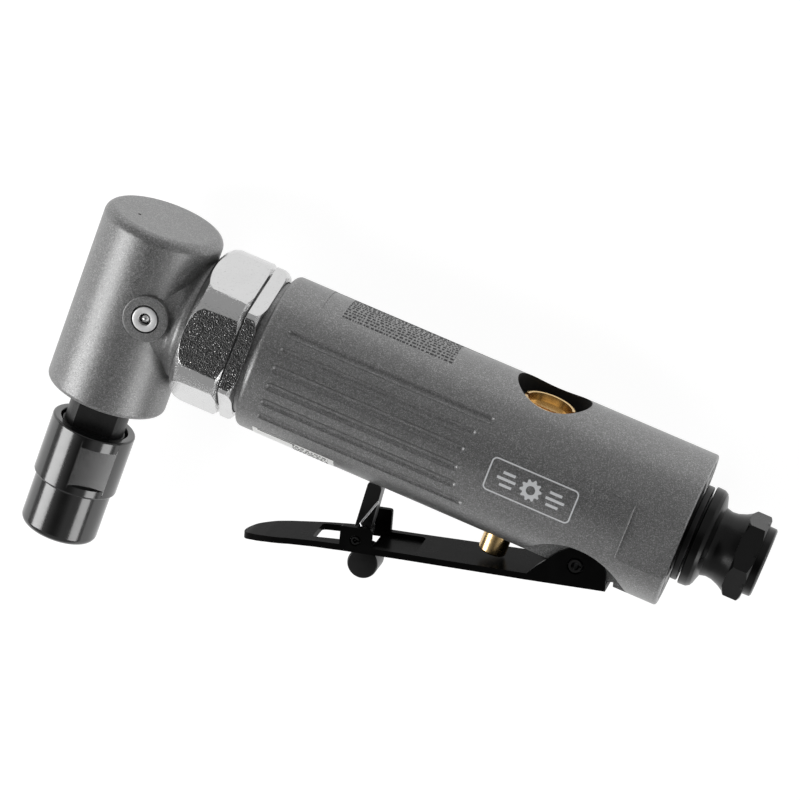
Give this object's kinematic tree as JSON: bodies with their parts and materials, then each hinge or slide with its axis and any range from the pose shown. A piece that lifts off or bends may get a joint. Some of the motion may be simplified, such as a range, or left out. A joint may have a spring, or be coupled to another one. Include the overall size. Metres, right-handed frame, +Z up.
{
  "type": "angle die grinder",
  "caption": "Air-driven angle die grinder with a bevel-geared head, a collet, a throttle lever with a lock-off latch, and a rear air inlet.",
  "frame": {"origin": "bottom centre of the bounding box, with the tool lying on its side", "axes": "+X along the motor to the air inlet, +Y to the closed end of the head, so the collet and the lever are on the -Y side, +Z up, the side with the grease fitting"},
  "size_m": [0.1666, 0.0796, 0.0362],
  "materials": {
    "grey_paint": "mid grey metallic paint with a fine sparkle",
    "chrome": "polished chrome plate",
    "black_gloss": "gloss black oxide and paint",
    "black_satin": "satin black oxide",
    "black_rough": "rough black oxide",
    "brass": "turned brass",
    "bright_steel": "bright ground steel",
    "dark_steel": "hardened alloy steel, dark",
    "cast_iron": "machined cast iron",
    "rubber": "black nitrile rubber",
    "felt": "grey felt",
    "vane_plastic": "brown phenolic laminate"
  },
  "bodies": {
    "housing": {"head_housing": "grey_paint", "grease_fitting": "bright_steel", "grease_fitting_ball": "bright_steel", "coupling_nut": "chrome", "lock_ring": "chrome", "motor_housing": "grey_paint", "upper_spindle_bearing": "bright_steel", "lower_spindle_bearing": "bright_steel", "bearing_retainer": "dark_steel", "front_pinion_bearing": "bright_steel", "rear_pinion_bearing": "bright_steel", "pinion_spacer": "dark_steel", "front_end_plate": "cast_iron", "rear_end_plate": "cast_iron", "front_motor_bearing": "bright_steel", "rear_motor_bearing": "bright_steel", "motor_cylinder": "cast_iron", "valve_seat": "brass", "plunger_seal": "rubber", "valve_spring": "bright_steel", "lever_pin": "black_satin", "air_inlet": "black_satin", "inlet_washer": "black_satin", "inlet_screen": "brass", "exhaust_deflector": "black_satin", "exhaust_muffler": "felt"},
    "motor_rotor": {"rotor": "bright_steel", "vane_1": "vane_plastic", "vane_2": "vane_plastic", "vane_3": "vane_plastic", "vane_4": "vane_plastic", "vane_5": "vane_plastic", "bevel_pinion": "dark_steel"},
    "output_spindle": {"spindle": "black_rough", "bevel_gear": "dark_steel", "collet": "bright_steel", "collet_nut": "black_gloss"},
    "throttle_valve": {"throttle_pin": "brass", "valve_poppet": "rubber"},
    "air_regulator": {"regulator_screw": "brass", "regulator_seal": "rubber"},
    "lever": {"throttle_lever": "black_gloss", "latch_pin": "black_satin"},
    "lock_off_latch": {"safety_latch": "black_satin", "latch_spring": "bright_steel"}
  },
  "joints": [
    {"name": "rotor_spin", "type": "hinge", "parent": "housing", "child": "motor_rotor", "pos_m": [-0.0093, 0.0208, 0.0181], "axis": [1, 0, 0], "continuous": true},
    {"name": "spindle_spin", "type": "hinge", "parent": "housing", "child": "output_spindle", "pos_m": [-0.0693, 0.0208, 0.0181], "axis": [0, 1, 0], "continuous": true},
    {"name": "throttle_lever_press", "type": "hinge", "parent": "housing", "child": "lever", "pos_m": [0.0452, 0.0055, 0.0181], "axis": [0, 0, -1], "range_deg": [0, 9], "stiffness_Nm_per_rad": 0.9, "springref_deg": -14.32},
    {"name": "latch_fold", "type": "hinge", "parent": "lever", "child": "lock_off_latch", "pos_m": [-0.00285, -0.01019, 0.0181], "axis": [0, 0, -1], "range_deg": [0, 77.6]},
    {"name": "throttle_pin_slide", "type": "slide", "parent": "housing", "child": "throttle_valve", "axis": [0, 1, 0], "range_m": [0, 0.00293], "deforming": ["valve_spring"]},
    {"name": "regulator_turn", "type": "hinge", "parent": "housing", "child": "air_regulator", "pos_m": [0.026, 0.0348, 0.0181], "axis": [0, 1, 0], "range_deg": [0, 270]}
  ],
  "couplings": [
    {"joint": "spindle_spin", "follows": "rotor_spin", "ratio": 0.66667},
    {"joint": "latch_fold", "follows": "throttle_lever_press", "ratio": 8.6},
    {"joint": "throttle_pin_slide", "follows": "throttle_lever_press", "m_per_rad": 0.018}
  ]
}
